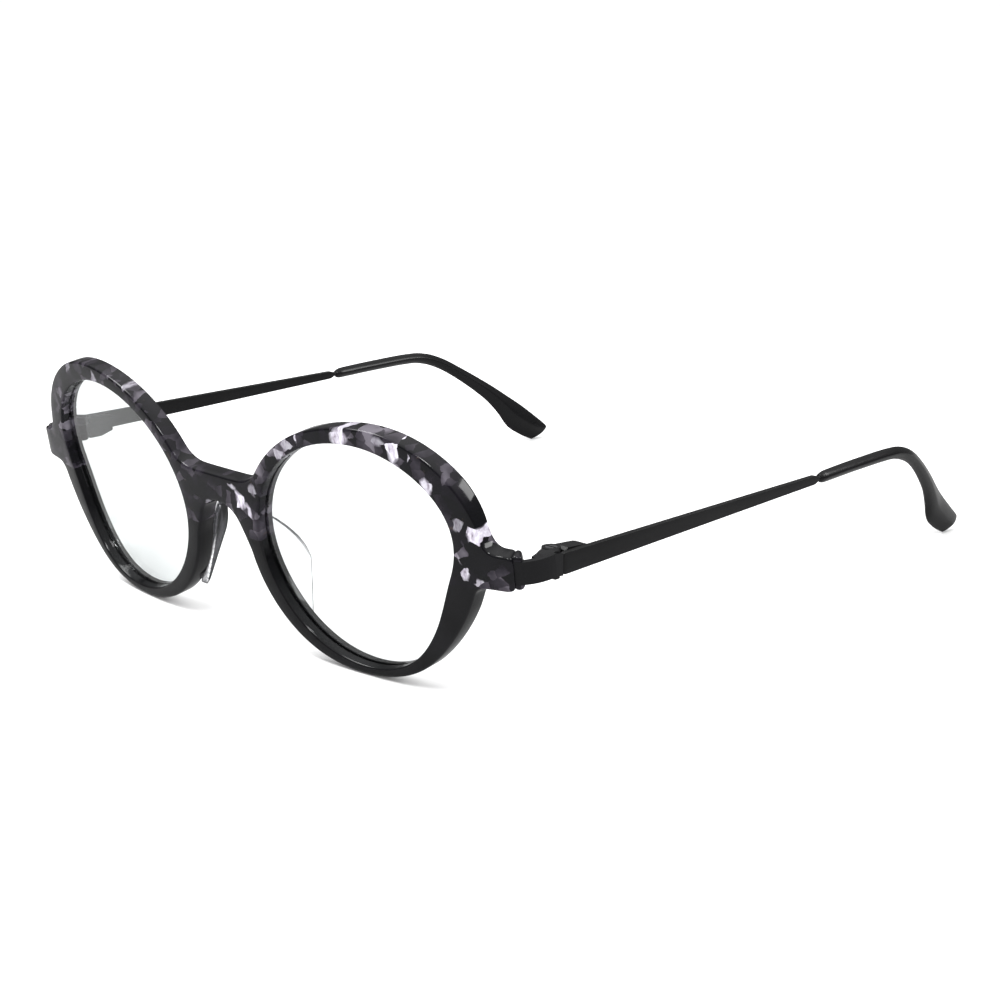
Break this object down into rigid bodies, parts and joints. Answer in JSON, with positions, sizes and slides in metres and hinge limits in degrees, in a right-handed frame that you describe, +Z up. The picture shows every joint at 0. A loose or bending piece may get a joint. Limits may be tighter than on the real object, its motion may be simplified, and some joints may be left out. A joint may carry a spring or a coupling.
{
  "type": "eyeglasses",
  "caption": "Round spectacles: two-tone acetate front, clear lenses, clear nose pads, thin metal temples that fold on screw hinges, acetate ear tips.",
  "frame": {"origin": "on the surface the open glasses stand on, under the middle of their bounding box", "axes": "+X to the wearer's left, +Y from the front towards the ears, +Z up"},
  "size_m": [0.1428, 0.1606, 0.0476],
  "materials": {
    "acetate_mottled": "polished translucent acetate, charcoal with grey and lavender patches",
    "acetate_black": "polished black acetate",
    "lens_clear": "polished clear lens",
    "pad_clear": "polished clear acetate",
    "temple_metal": "matte black coating",
    "hinge_metal": "satin black coating",
    "screw_steel": "blackened steel",
    "bare_steel": "plain steel",
    "tip_black": "satin black acetate"
  },
  "bodies": {
    "front": {"brow_acetate": "acetate_mottled", "rim_lower_left": "acetate_black", "lens_left": "lens_clear", "nose_pad_left": "pad_clear", "endpiece_left": "temple_metal", "lug_rivets_left": "bare_steel", "hinge_front_leaf_left": "hinge_metal", "hinge_screw_left": "screw_steel", "rim_lower_right": "acetate_black", "lens_right": "lens_clear", "nose_pad_right": "pad_clear", "endpiece_right": "temple_metal", "lug_rivets_right": "bare_steel", "hinge_front_leaf_right": "hinge_metal", "hinge_screw_right": "screw_steel"},
    "temple_left": {"hinge_temple_leaf_left": "hinge_metal", "temple_left": "temple_metal", "temple_tip_left": "tip_black"},
    "temple_right": {"hinge_temple_leaf_right": "hinge_metal", "temple_right": "temple_metal", "temple_tip_right": "tip_black"}
  },
  "joints": [
    {"name": "temple_left_fold", "type": "hinge", "parent": "front", "child": "temple_left", "pos_m": [0.06781, -0.06204, 0.02645], "axis": [0, 0, 1], "range_deg": [0, 90]},
    {"name": "temple_right_fold", "type": "hinge", "parent": "front", "child": "temple_right", "pos_m": [-0.06781, -0.06204, 0.02645], "axis": [0, 0, -1], "range_deg": [0, 84]}
  ]
}
